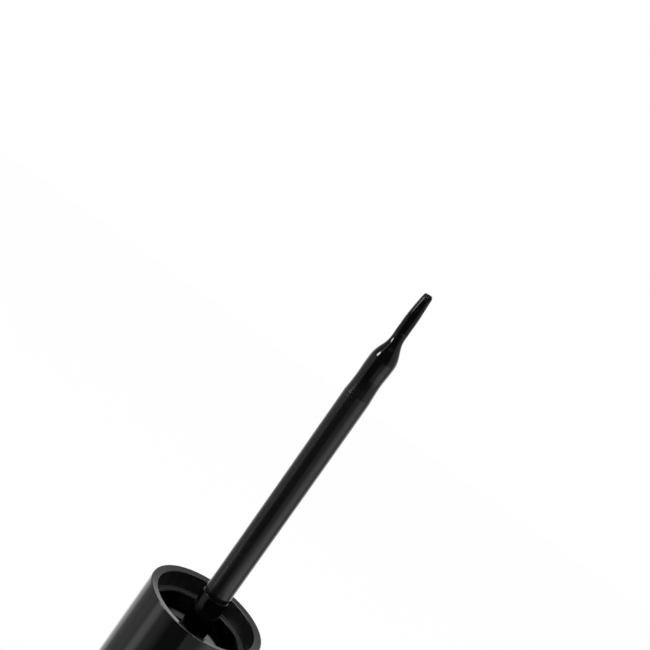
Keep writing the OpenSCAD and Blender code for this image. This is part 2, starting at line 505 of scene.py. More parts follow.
def handling_marks() -> bpy.types.ShaderNodeTree:
    """Group for handled plastic: fine hairlines, dust specks and soft smudges.

    Returns:
        The node group, with outputs Rough, Specks and Height.
    """
    name = "handling_marks"
    if name in bpy.data.node_groups:
        return bpy.data.node_groups[name]
    inputs = ("Smudge", "Hairlines", "Dust", "Wave")
    tree, entry, leave = new_group(name, "Shader", inputs, ("Rough", "Specks", "Height"))
    place = tree.place()
    smudge = tree.ramp(tree.noise(place, 260.0, detail=3.0, rough=0.6), 0.42, 0.72)
    lines = tree.noise(tree.place((9.0, 9.0, 1.0)), 900.0, rough=0.7)
    lines = tree.ramp(lines, 0.62, 0.74)
    rough = tree.math("MULTIPLY", smudge, entry["Smudge"])
    rough = tree.math("MULTIPLY_ADD", lines, entry["Hairlines"], rough)
    tree.join(rough, leave["Rough"])
    cells = tree.node("ShaderNodeTexVoronoi", feature="F1")
    tree.join(place, cells.inputs["Vector"])
    cells.inputs["Scale"].default_value = 620.0
    near = tree.ramp(cells.outputs["Distance"], 0.035, 0.07, (1.0, 0.0))
    some = tree.ramp(tree.noise(place, 410.0), 0.56, 0.62)
    specks = tree.math("MULTIPLY", near, some)
    tree.join(tree.math("MULTIPLY", specks, entry["Dust"]), leave["Specks"])
    wave = tree.math("MULTIPLY", tree.noise(place, 170.0, detail=1.0), entry["Wave"])
    tree.join(wave, leave["Height"])
    return tree.tree


def ink_stain() -> bpy.types.ShaderNodeTree:
    """Group for ink left on a piece: a mask of wet patches and their soft edge.

    Returns:
        The node group, with outputs Wet and Height.
    """
    name = "ink_stain"
    if name in bpy.data.node_groups:
        return bpy.data.node_groups[name]
    tree, entry, leave = new_group(name, "Shader", ("Scale", "Cover"), ("Wet", "Height"))
    patches = tree.noise(tree.place(), entry["Scale"], detail=3.0)
    over = tree.math("SUBTRACT", patches, tree.math("SUBTRACT", 1.0, entry["Cover"]))
    tree.join(tree.ramp(over, -0.03, 0.05), leave["Wet"])
    tree.join(tree.ramp(over, -0.02, 0.12), leave["Height"])
    return tree.tree


@dataclass(frozen=True)
class Finish:
    """A surface finish that makes its own material.

    Attributes:
        name: Name of the material.
        base: Colour of the plastic.
        rough: Roughness before marks.
        gloss: Specular level.
        index: Index of refraction.
    """

    name: str
    base: Colour
    rough: float
    gloss: float = 0.5
    index: float = 1.5

    def start(self) -> tuple[bpy.types.Material, Tree, bpy.types.Node]:
        """Makes the material with its plain values.

        Returns:
            The material, its tree and its shader.
        """
        material = bpy.data.materials.new(self.name)
        material.use_nodes = True
        tree = Tree(material.node_tree)
        shader = material.node_tree.nodes["Principled BSDF"]
        tree.feed(shader.inputs["Base Color"], self.base)
        shader.inputs["Roughness"].default_value = self.rough
        shader.inputs["Specular IOR Level"].default_value = self.gloss
        shader.inputs["IOR"].default_value = self.index
        return material, tree, shader

    def tint(self, tree: Tree, shader: bpy.types.Node, mask: Socket, other: Colour) -> None:
        """Blends the base colour towards another one by a mask."""
        tree.join(tree.blend("RGBA", mask, self.base, other), shader.inputs["Base Color"])


@dataclass(frozen=True)
class GlossShell(Finish):
    """High-gloss black shell with a moulder's slight waviness and handling marks.

    Attributes:
        dust: Colour of the dust specks.
        inside: Colour of the mouth's wall, which is left as moulded.
        inside_rough: Roughness added on the mouth's wall.
        ink: Colour of the ink that has run down that wall.
        ink_share: Strength of that ink.
        mouth_r: Radius in metres within which the wall counts as inside.
        mouth_edge: Half the width in metres of the step between inside and outside.
    """

    dust: Colour = (0.06, 0.06, 0.063)
    inside: Colour = (0.009, 0.009, 0.0095)
    inside_rough: float = 0.3
    ink: Colour = (0.0012, 0.0012, 0.0013)
    ink_share: float = 0.6
    mouth_r: float = 0.00633
    mouth_edge: float = 0.00001

    def make(self) -> bpy.types.Material:
        """Builds the material."""
        material, tree, shader = self.start()
        marks = tree.group(handling_marks(), Smudge=0.05, Hairlines=0.03, Dust=0.16, Wave=1.0)
        axis = tree.axes()
        across = tree.math("MULTIPLY", axis["X"], axis["X"])
        out = tree.math("SQRT", tree.math("MULTIPLY_ADD", axis["Y"], axis["Y"], across))
        within = tree.ramp(out, self.mouth_r - self.mouth_edge, self.mouth_r + self.mouth_edge, (1.0, 0.0))
        rough = tree.math("ADD", marks["Rough"], self.rough)
        rough = tree.math("MULTIPLY_ADD", within, self.inside_rough, rough)
        tree.join(rough, shader.inputs["Roughness"])
        dusty = tree.blend("RGBA", marks["Specks"], self.base, self.dust)
        stain = tree.group(ink_stain(), Scale=1100.0, Cover=0.5)
        stain_mask = tree.math("MULTIPLY", stain["Wet"], self.ink_share)
        stained = tree.blend("RGBA", stain_mask, self.inside, self.ink)
        tree.join(tree.blend("RGBA", within, dusty, stained), shader.inputs["Base Color"])
        tree.relief(shader, marks["Height"], depth=0.00002, strength=0.35)
        return material


@dataclass(frozen=True)
class InkedInsert(Finish):
    """Satin rim over a bore that is wet with ink in patches. The rim's top face is coloured lighter than
    the bore as painted light, where light falls on it from above.

    Attributes:
        ink: Colour of the ink.
        ink_rough: Roughness of the ink.
        lit_rim: Colour of the rim's top face, lighter than the insert's plastic: painted light.
        rim_rough: Roughness of the rim's top face.
        lit_rim_low: Height in metres where the top face's painted light starts.
        lit_rim_high: Height where it is full.
    """

    ink: Colour = (0.0008, 0.0008, 0.0009)
    ink_rough: float = 0.06
    lit_rim: Colour = (0.03, 0.03, 0.031)
    rim_rough: float = 0.42
    lit_rim_low: float = 0.0
    lit_rim_high: float = 1.0

    def make(self) -> bpy.types.Material:
        """Builds the material."""
        material, tree, shader = self.start()
        stain = tree.group(ink_stain(), Scale=420.0, Cover=0.52)
        marks = tree.group(handling_marks(), Smudge=0.08, Hairlines=0.02)
        # Painted light: the rim's top face is coloured lighter than the bore, as if lit from above.
        lit_rim = tree.ramp(tree.axes()["Z"], self.lit_rim_low, self.lit_rim_high)
        dry = tree.math("ADD", marks["Rough"], self.rough)
        bore_rough = tree.blend("FLOAT", stain["Wet"], dry, self.ink_rough)
        tree.join(tree.blend("FLOAT", lit_rim, bore_rough, self.rim_rough), shader.inputs["Roughness"])
        inked = tree.blend("RGBA", stain["Wet"], self.base, self.ink)
        # The rim's top face takes the lighter colour of painted light.
        tree.join(tree.blend("RGBA", lit_rim, inked, self.lit_rim), shader.inputs["Base Color"])
        tree.relief(shader, stain["Height"], depth=0.00003, strength=0.3)
        return material


@dataclass(frozen=True)
class SatinRod(Finish):
    """Satin moulded rod: fine spark-eroded grain, a lengthwise flow mark and thin ink smears.

    Attributes:
        ink: Colour of the ink.
        ink_rough: Roughness of the ink.
        foot_wet: Height in metres below which ink from the wiper wets the foot.
        foot_dry: Height where the foot is dry.
        foot_tilt: Rise of that edge from the axis towards +X, as the ink ran while the wand lay down.
        foot_share: How much of the foot's surface the ink covers.
        flow_rough: Spread of the roughness along the flow mark.
        collar_highlight: Lighter grey painted down the side of the collar where the key light's reflection
            falls: a painted highlight.
        highlight_deg: Angle of that side.
        highlight_r: Radius in metres of the collar.
        highlight_rag: Raggedness of the painted highlight's sides, as a share of that radius.
        highlight_from: Place towards that side, as a share of the radius, where the painted highlight
            starts.
        highlight_to: Place where it is full.
        highlight_low: Height where the painted highlight starts.
        highlight_high: Height where it is full.
        highlight_top: Height where it ends.
        highlight_step: Height over which it ends.
        wet_from: Height where the nose starts to be wet.
        wet_to: Height where it is wet all round.
        wet_rag: Height of the tongues in the edge of that ink.
        smear_share: Strength of the smears on the rod.
    """

    ink: Colour = (0.0008, 0.0008, 0.0009)
    ink_rough: float = 0.07
    foot_wet: float = -2.0
    foot_dry: float = -1.0
    foot_tilt: float = 0.5
    foot_share: float = 0.8
    flow_rough: float = 0.10
    # Painted highlight: lighter grey on the collar's side that faces the key light's reflection.
    collar_highlight: Colour = (0.028, 0.027, 0.026)
    highlight_deg: float = -127.0
    highlight_r: float = 0.00162
    highlight_rag: float = 0.08
    highlight_from: float = 0.965
    highlight_to: float = 1.045
    highlight_low: float = -3.0
    highlight_high: float = -2.0
    highlight_top: float = -1.0
    highlight_step: float = 0.00002
    wet_from: float = 0.0
    wet_to: float = 1.0
    wet_rag: float = 0.0022
    smear_share: float = 0.35

    def make(self) -> bpy.types.Material:
        """Builds the material."""
        material, tree, shader = self.start()
        axis = tree.axes()
        edge = tree.math("MULTIPLY_ADD", tree.noise(tree.place(), 500.0), self.wet_rag, axis["Z"])
        nose = tree.ramp(edge, self.wet_from, self.wet_to)
        stain = tree.group(ink_stain(), Scale=520.0, Cover=0.36)
        smear = tree.math("MULTIPLY", stain["Wet"], self.smear_share)
        level = tree.math("MULTIPLY_ADD", axis["X"], -self.foot_tilt, axis["Z"])
        foot = tree.ramp(level, self.foot_wet, self.foot_dry, (self.foot_share, 0.0))
        wet = tree.math("MAXIMUM", tree.math("MAXIMUM", nose, smear), foot)
        inked = tree.blend("RGBA", wet, self.base, self.ink)
        # Painted highlight: a lighter grey down the collar's side where the key light's reflection falls.
        coloured = tree.blend("RGBA", self.painted_highlight(tree, axis), inked, self.collar_highlight)
        tree.join(coloured, shader.inputs["Base Color"])
        flow = tree.noise(tree.place((6.0, 6.0, 0.4)), 120.0)
        marks = tree.group(handling_marks(), Smudge=0.10, Hairlines=0.05)
        spread = tree.math("MULTIPLY_ADD", flow, self.flow_rough, marks["Rough"])
        dry_rough = tree.math("ADD", spread, self.rough - self.flow_rough / 2)
        tree.join(tree.blend("FLOAT", wet, dry_rough, self.ink_rough), shader.inputs["Roughness"])
        grain = tree.noise(tree.place((1.0, 1.0, 0.55)), 7000.0, rough=0.6)
        grain = tree.math("MULTIPLY", grain, tree.math("SUBTRACT", 1.0, wet))
        tree.relief(shader, grain, depth=0.000012, strength=0.05)
        return material

    def painted_highlight(self, tree: Tree, axis: bpy.types.NodeOutputs) -> Socket:
        """Mask of the painted highlight down the side of the collar where the key light's reflection
        falls.

        Args:
            tree: The material's tree.
            axis: Object coordinates one by one.

        Returns:
            The mask's socket.
        """
        side = math.radians(self.highlight_deg)
        towards = tree.math("MULTIPLY", axis["X"], math.cos(side) / self.highlight_r)
        towards = tree.math("MULTIPLY_ADD", axis["Y"], math.sin(side) / self.highlight_r, towards)
        ragged = tree.noise(tree.place(), 1500.0, detail=3.0)
        ragged = tree.math("MULTIPLY_ADD", ragged, self.highlight_rag, towards)
        across = tree.ramp(ragged, self.highlight_from, self.highlight_to)
        up = tree.ramp(axis["Z"], self.highlight_low, self.highlight_high)
        under = tree.ramp(axis["Z"], self.highlight_top - self.highlight_step, self.highlight_top, (1.0, 0.0))
        return tree.math("MULTIPLY", tree.math("MULTIPLY", across, up), under)


@dataclass(frozen=True)
class WetInk(Finish):
    """Wet ink over fine filaments, paler where the ends have dried.

    Attributes:
        dry: Colour of dried ink.
        dry_from: Height in metres where the ink starts to be dry.
        dry_to: Height where it is driest.
        dry_rag: Height of the tongues in that edge.
        dry_share: Share of the dried colour at the driest place.
        dry_rough: Roughness that dried ink adds.
    """

    dry: Colour = (0.07, 0.066, 0.064)
    dry_from: float = 0.0
    dry_to: float = 1.0
    dry_rag: float = 0.0005
    dry_share: float = 0.5
    dry_rough: float = 0.35

    def make(self) -> bpy.types.Material:
        """Builds the material."""
        material, tree, shader = self.start()
        ragged = tree.noise(tree.place(), 2600.0, detail=1.0)
        edge = tree.math("MULTIPLY_ADD", ragged, self.dry_rag, tree.axes()["Z"])
        dry = tree.ramp(edge, self.dry_from, self.dry_to, (0.0, self.dry_share))
        tree.join(tree.math("MULTIPLY_ADD", dry, self.dry_rough, self.rough), shader.inputs["Roughness"])
        self.tint(tree, shader, dry, self.dry)
        ripple = tree.noise(tree.place((1.0, 1.0, 0.16)), 5200.0)
        tree.relief(shader, ripple, depth=0.00001, strength=0.14)
        return material


@dataclass(frozen=True)
class SoftWasher(Finish):
    """Matt rubber washer with a fine pitted skin and ink in the pits.

    Attributes:
        ink: Colour of the ink.
        pit_rough: Spread of the roughness over the pits.
    """

    ink: Colour = (0.004, 0.004, 0.004)
    pit_rough: float = 0.2

    def make(self) -> bpy.types.Material:
        """Builds the material."""
        material, tree, shader = self.start()
        pits = tree.noise(tree.place(), 5200.0, rough=0.6)
        rough = tree.math("MULTIPLY_ADD", pits, self.pit_rough, self.rough - self.pit_rough / 2)
        tree.join(rough, shader.inputs["Roughness"])
        stain = tree.group(ink_stain(), Scale=380.0, Cover=0.45)
        self.tint(tree, shader, stain["Wet"], self.ink)
        tree.relief(shader, pits, depth=0.00002, strength=0.4)
        return material


def dress(piece: bpy.types.Object, material: bpy.types.Material) -> None:
    """Gives a piece one material."""
    piece.data.materials.clear()
    piece.data.materials.append(material)


def finish_piece(piece: bpy.types.Object) -> None:
    """Lets a new piece ride with the part."""
    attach(piece, BODY)


@dataclass
class Cap:
    """The glossy shell, dressed as it was packed.

    Attributes:
        finish: Its finish.
    """

    finish: GlossShell = field(
        default_factory=lambda: GlossShell("cap_gloss_finish", (0.0018, 0.0018, 0.0020), 0.035)
    )

    def build(self) -> list[bpy.types.Object]:
        """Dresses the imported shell.

        Returns:
            The shell.
        """
        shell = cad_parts["outer_cap"]
        dress(shell, self.finish.make())
        return [shell]


@dataclass
class Insert:
    """The threaded insert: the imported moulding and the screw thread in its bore.

    Attributes:
        bore_r: Radius of the thread's root.
        crest_r: Radius of the thread's crest.
        pitch: Rise for one turn.
        turns: Number of turns.
        top: Height over the lip of the ridge's upper edge, at the thread's upper end.
        end_deg: Angle of the upper end.
        foot_w: Width of the ridge at the wall.
        crest_w: Width of the ridge at its crest.
        sunk: Depth of the ridge's foot in the wall.
        rounding: Radius of the ridge's corners.
        lead_share: Share of the thread's length over which each end fades out.
        end_share: Share of the ridge's section that is left at its very ends.
        turn_steps: Number of steps in one turn of the thread.
        land_in_r: Inner radius of the rim's flat land.
        land_out_r: Outer radius of that land.
        land_fall: Height over which the land's inner side runs down to the bore.
        land_edge: Radius of the land's inner edge.
        land_hem: Height of the hem at the land's lower end, which is twice as deep.
        land_over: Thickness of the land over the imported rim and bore.
        land_steps: Number of steps round the land.
        finish: The insert's finish.
    """

    bore_r: float = 5.52
    crest_r: float = 4.95
    pitch: float = 2.0
    turns: float = 2.1
    top: float = -4.0
    end_deg: float = 200.0
    foot_w: float = 1.25
    crest_w: float = 0.4
    sunk: float = 0.12
    rounding: float = 0.09
    lead_share: float = 0.06
    end_share: float = 0.2
    turn_steps: int = 96
    land_in_r: float = 5.56
    land_out_r: float = 6.265
    land_fall: float = 0.45
    land_edge: float = 0.03
    land_hem: float = 0.05
    land_over: float = 0.004
    land_steps: int = 160
    finish: InkedInsert = field(
        default_factory=lambda: InkedInsert(
            "insert_finish",
            (0.0035, 0.0035, 0.0037),
            0.2,
            lit_rim_low=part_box("thread_insert")[1].z - 0.00005,
            lit_rim_high=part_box("thread_insert")[1].z - 0.00001,
        )
    )

    def build(self) -> list[bpy.types.Object]:
        """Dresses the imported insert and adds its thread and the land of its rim.

        Returns:
            The insert, the thread and the land.
        """
        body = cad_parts["thread_insert"]
        material = self.finish.make()
        dress(body, material)
        thread = self.thread(material)
        land = link_mesh("insert_land", self.land())
        dress(land, material)
        for piece in (thread, land):
            finish_piece(piece)
        return [body, thread, land]

    def land(self) -> bmesh.types.BMesh:
        """Turns the flat land of the rim, which fills the chamfer's upper part.

        Returns:
            The land's mesh, a closed ring.
        """
        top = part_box("thread_insert")[1].z / MM + self.land_over
        bore = self.bore_r - self.land_over
        low = top - self.land_fall
        hem = low - self.land_hem
        edge = self.land_edge
        outline = [(self.land_out_r, low), (self.land_out_r, top)]
        outline += arc(self.land_in_r + edge, top - edge, edge, 90, 180, 5)
        outline += [(bore, low), (bore, hem), (bore + 2 * self.land_hem, hem)]
        return lathe(braced(outline, margin=0.01), self.land_steps, closed=True)

    def thread(self, material: bpy.types.Material) -> bpy.types.Object:
        """Sweeps the thread's ridge along its helix.

        Args:
            material: The insert's material.

        Returns:
            The thread's object.
        """
        values = {
            "Root Radius": (self.bore_r + self.sunk) * MM,
            "Ridge Height": (self.bore_r + self.sunk - self.crest_r) * MM,
            "Foot Width": (self.foot_w + 2 * self.sunk) * MM,
            "Crest Width": self.crest_w * MM,
            "Rounding": self.rounding * MM,
            "Turns": self.turns,
            "Rise": self.pitch * self.turns * MM,
            "Foot": (LIP + self.top - self.foot_w / 2 - self.pitch * self.turns) * MM,
            "Start Angle": math.radians(self.end_deg - 360.0 * self.turns),
            "Lead": self.lead_share,
            "End": self.end_share,
            "Material": material,
        }
        return bake("insert_thread", self.ridge_tree(), values)

    def ridge_tree(self) -> bpy.types.GeometryNodeTree:
        """Builds the geometry node tree of the thread's ridge.

        Returns:
            The tree, with named inputs for the thread's sizes.
        """
        sizes = ("Root Radius", "Ridge Height", "Foot Width", "Crest Width", "Rounding", "Turns")
        inputs = (*sizes, "Rise", "Foot", "Start Angle", "Lead", "End", "Material")
        tree, entry, leave = new_group("thread_ridge", "Geometry", inputs, ("Geometry",))

        helix = tree.node("GeometryNodeCurveSpiral")
        helix.inputs["Resolution"].default_value = self.turn_steps
        tree.join(entry["Turns"], helix.inputs["Rotations"])
        tree.join(entry["Root Radius"], helix.inputs["Start Radius"])
        tree.join(entry["Root Radius"], helix.inputs["End Radius"])
        tree.join(entry["Rise"], helix.inputs["Height"])
        helix.inputs["Reverse"].default_value = True
        placed = tree.node("GeometryNodeTransform")
        tree.join(helix.outputs[0], placed.inputs["Geometry"])
        tree.join(tree.vector(0.0, 0.0, entry["Foot"]), placed.inputs["Translation"])
        tree.join(tree.vector(0.0, 0.0, entry["Start Angle"]), placed.inputs["Rotation"])
        upright = tree.node("GeometryNodeSetCurveNormal")
        if "Mode" in upright.inputs:
            upright.inputs["Mode"].default_value = "Z Up"
        else:
            upright.mode = "Z_UP"
        tree.join(placed.outputs[0], upright.inputs["Curve"])

        section = tree.node("GeometryNodeCurvePrimitiveQuadrilateral", mode="TRAPEZOID")
        tree.join(entry["Foot Width"], section.inputs["Bottom Width"])
        tree.join(entry["Crest Width"], section.inputs["Top Width"])
        tree.join(entry["Ridge Height"], section.inputs["Height"])
        section.inputs["Offset"].default_value = 0.0
        half = tree.math("MULTIPLY", entry["Ridge Height"], 0.5)
        raised = tree.node("GeometryNodeTransform")
        tree.join(section.outputs[0], raised.inputs["Geometry"])
        tree.join(tree.vector(0.0, half, 0.0), raised.inputs["Translation"])
        turned = tree.node("GeometryNodeTransform")
        tree.join(raised.outputs[0], turned.inputs["Geometry"])
        turned.inputs["Rotation"].default_value = (0.0, 0.0, math.radians(90.0))
        rounded = tree.node("GeometryNodeFilletCurve")
        if "Mode" in rounded.inputs:
            rounded.inputs["Mode"].default_value = "Poly"
        else:
            rounded.mode = "POLY"
        tree.join(turned.outputs[0], rounded.inputs["Curve"])
        rounded.inputs["Count"].default_value = 3
        tree.join(entry["Rounding"], rounded.inputs["Radius"])

        along = tree.node("GeometryNodeSplineParameter").outputs["Factor"]
        nearest = tree.math("MINIMUM", along, tree.math("SUBTRACT", 1.0, along))
        lead = tree.math("MINIMUM", tree.math("DIVIDE", nearest, entry["Lead"]), 1.0)
        grown = tree.math("SINE", tree.math("MULTIPLY", lead, math.pi / 2))
        scale = tree.math("MAXIMUM", grown, entry["End"])
        swept = tree.sweep(upright.outputs[0], rounded.outputs[0], scale, entry["Material"])
        tree.join(swept, leave["Geometry"])
        return tree.tree


@dataclass
class Gasket:
    """The washer at the socket's floor, dressed as it was packed.

    Attributes:
        finish: Its finish.
    """

    finish: SoftWasher = field(
        default_factory=lambda: SoftWasher("gasket_finish", (0.02, 0.02, 0.021), 0.7)
    )

    def build(self) -> list[bpy.types.Object]:
        """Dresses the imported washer.

        Returns:
            The washer.
        """
        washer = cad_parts["neck_gasket"]
        dress(washer, self.finish.make())
        return [washer]


@dataclass
class Wand:
    """The moulded rod: collar, rod, shoulder edge, waist, bulb and swaged nose.

    Heights are over the lip.

    Attributes:
        collar_r: Radius of the collar.
        collar_top: Height of the collar's top.
        collar_edge: Radius of the collar's top edge.
        neck_r: Radius of the short neck between the collar and the rod.
        neck_h: Height of that neck.
        foot_r: Radius of the rod's foot, where it flares.
        foot_edge: Size of the foot's chamfer.
        flare_h: Height of the flare.
        rod_r: Radius of the rod over the flare.
        end_r: Radius at the shoulder edge.
        shoulder: Height of the shoulder edge.
        shoulder_h: Height over which that edge turns in, on either side.
        shoulder_in: Amount by which it has turned in at its middle.
        waist_r: Radius of the waist.
        waist: Height of the waist.
        bulb_r: Radius of the bulb.
        bulb: Height where the bulb is full.
        ogee: Height where the swaged stretch starts.
        nose_r: Radius of the nose.
        nose: Height where the swaged stretch ends.
        nose_end: Height of the nose's end.
        nose_edge: Radius of the nose's end edge.
        throat_r: Radius of the hole in the nose.
        throat_deep: Depth of that hole.
        root_r: Radius of the wand's root in the insert's sleeve.
        root_tip_r: Radius of the root's lower end.
        root_taper: Height over which the root widens.
        flange_r: Radius of the flange under the gasket.
        flange_h: Height of the flange.
        lean: Sideways lean of the swaged stretch's middle.
        lean_peak: Height of that middle over the start of the stretch.
        bow: Sideways bow of the rod's middle.
        bow_in: Length over which the bow comes in, from the collar up.
        bow_out: Height from which it goes out again, as far as the shoulder.
        parting_deg: Angle of the line where the mould's halves met.
        parting_h: Height of the ridge on that line.
        parting_w: Width of the ridge, as a share of the radius.
        parting_end: Distance under the nose where the ridge ends.
        foot_dries: Height over the collar's top where the wiper's ink is gone.
        highlight_long: Distance under the collar's top where the painted highlight starts.
        highlight_full: Distance under it where the painted highlight is full.
        wet_in: Height over the shoulder edge where the brush's ink starts, before its tongues.
        wet_full: Height over that edge where it is full.
        steps_round: Number of steps round the wand.
    """

    collar_r: float = 1.62
    collar_top: float = 1.68
    collar_edge: float = 0.006
    neck_r: float = 1.5
    neck_h: float = 0.6
    foot_r: float = 1.62
    foot_edge: float = 0.02
    flare_h: float = 0.8
    rod_r: float = 1.555
    end_r: float = 1.615
    shoulder: float = 28.6
    shoulder_h: float = 0.04
    shoulder_in: float = 0.004
    waist_r: float = 1.495
    waist: float = 30.8
    bulb_r: float = 1.55
    bulb: float = 32.6
    ogee: float = 32.9
    nose_r: float = 0.75
    nose: float = 36.7
    nose_end: float = 37.0
    nose_edge: float = 0.035
    throat_r: float = 0.58
    throat_deep: float = 2.0
    root_r: float = 2.1
    root_tip_r: float = 1.26
    root_taper: float = 1.2
    flange_r: float = 4.47
    flange_h: float = 0.9
    lean: float = 0.095
    lean_peak: float = 1.8
    bow: float = 0.02
    bow_in: float = 4.0
    bow_out: float = 16.0
    parting_deg: float = 62.0
    parting_h: float = 0.012
    parting_w: float = 0.05
    parting_end: float = 1.0
    foot_dries: float = 1.0
    highlight_long: float = 2.4
    highlight_full: float = 0.8
    wet_in: float = 1.0
    wet_full: float = 3.3
    steps_round: int = 96

    def build(self) -> list[bpy.types.Object]:
        """Makes the wand's skin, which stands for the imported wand.

        Returns:
            The wand.
        """
        collar, shoulder = LIP + self.collar_top, LIP + self.shoulder
        finish = SatinRod(
            "wand_finish",
            (0.0032, 0.0032, 0.0034),
            0.20,
            foot_wet=collar * MM,
            foot_dry=(collar + self.foot_dries) * MM,
            # The collar's painted highlight, down the side where the key light's reflection falls.
            highlight_r=self.collar_r * MM,
            highlight_low=(collar - self.highlight_long) * MM,
            highlight_high=(collar - self.highlight_full) * MM,
            highlight_top=collar * MM,
            wet_from=(shoulder + self.wet_in) * MM,
            wet_to=(shoulder + self.wet_full) * MM,
        )
        outline = [(r, z + LIP) for r, z in braced(self.outline(), margin=0.015)]
        bm = lathe(outline, self.steps_round, bend=self.bend, swell=self.parting)
        wand = link_mesh("wand_rod", bm)
        dress(wand, finish.make())
        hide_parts("wand")
        finish_piece(wand)
        return [wand]

    def outline(self) -> list[Point2]:
        """Outline from the root's lower end to the nose's mouth, heights over the lip."""
        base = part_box("wand")[0].z / MM - LIP
        flange_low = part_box("neck_gasket")[0].z / MM - LIP - self.flange_h
        flange_top = flange_low + self.flange_h
        points = [(0.0, base), (self.root_tip_r, base), (self.root_r, base + self.root_taper)]
        points += [(self.root_r, flange_low), (self.flange_r, flange_low), (self.flange_r, flange_top)]

        corner = self.collar_edge
        points += [(self.collar_r, flange_top)]
        points += arc(self.collar_r - corner, self.collar_top - corner, corner, 0, 90, 4)
        foot = self.collar_top + self.neck_h
        edge = self.foot_edge
        points += [(self.neck_r, self.collar_top), (self.neck_r, foot - edge)]
        points += [(self.foot_r - edge, foot), (self.foot_r, foot + edge)]

        flare_top = foot + self.flare_h
        points += self.stretch(self.foot_r, foot + 2 * edge, self.rod_r, flare_top, 8, settle)
        shoulder_low = self.shoulder - self.shoulder_h
        points += self.stretch(self.rod_r, flare_top, self.end_r, shoulder_low, 16)[1:]
        points += [(self.end_r - self.shoulder_in, self.shoulder)]
        turned_r = self.end_r - 3 * self.shoulder_in
        shoulder_top = self.shoulder + self.shoulder_h
        points += self.stretch(turned_r, shoulder_top, self.waist_r, self.waist, 16, settle)
        points += self.stretch(self.waist_r, self.waist, self.bulb_r, self.bulb, 10, ease)[1:]
        points += self.stretch(self.bulb_r, self.ogee, self.nose_r, self.nose, 32, swage)

        edge = self.nose_edge
        hole_floor = self.nose_end - self.throat_deep
        points += [(self.nose_r, self.nose_end - edge)]
        points += arc(self.nose_r - edge, self.nose_end - edge, edge, 20, 90, 4)
        points += [(self.throat_r, self.nose_end), (self.throat_r, hole_floor), (0.0, hole_floor)]
        return points

    def stretch(
        self,
        r0: float,
        z0: float,
        r1: float,
        z1: float,
        steps: int,
        curve: Callable[[float, float, float], float] = even,
    ) -> list[Point2]:
        """Points of one stretch of the outline.

        Args:
            r0: First radius.
            z0: First height.
            r1: Last radius.
            z1: Last height.
            steps: Number of steps.
            curve: How the radius goes from one to the other.

        Returns:
            The points, both ends included.
        """
        shares = [i / steps for i in range(steps + 1)]
        return [(curve(r0, r1, t), even(z0, z1, t)) for t in shares]

    def bend(self, z: float) -> Point2:
        """Shift of the axis: the rod bows a little and the swaged nose is slightly out of line.

        Args:
            z: Height in millimetres.

        Returns:
            The shift in X and Y.
        """
        over = z - LIP
        peak = self.ogee + self.lean_peak
        leant = eased_way(over, self.waist, peak) - eased_way(over, peak, self.nose)
        bowed = eased_way(over, self.collar_top, self.collar_top + self.bow_in)
        bowed -= eased_way(over, self.bow_out, self.shoulder)
        return self.bow * bowed + self.lean * leant, 0.0

    def parting(self, z: float, angle: float) -> float:
        """Fine ridges where the two halves of the mould met.

        Args:
            z: Height in millimetres.
            angle: Angle round the axis.

        Returns:
            Amount added to the radius.
        """
        over = z - LIP
        if over < self.collar_top or over > self.nose - self.parting_end:
            return 0.0
        off = abs(math.sin(angle - math.radians(self.parting_deg)))
        return self.parting_h * math.exp(-((off / self.parting_w) ** 2))


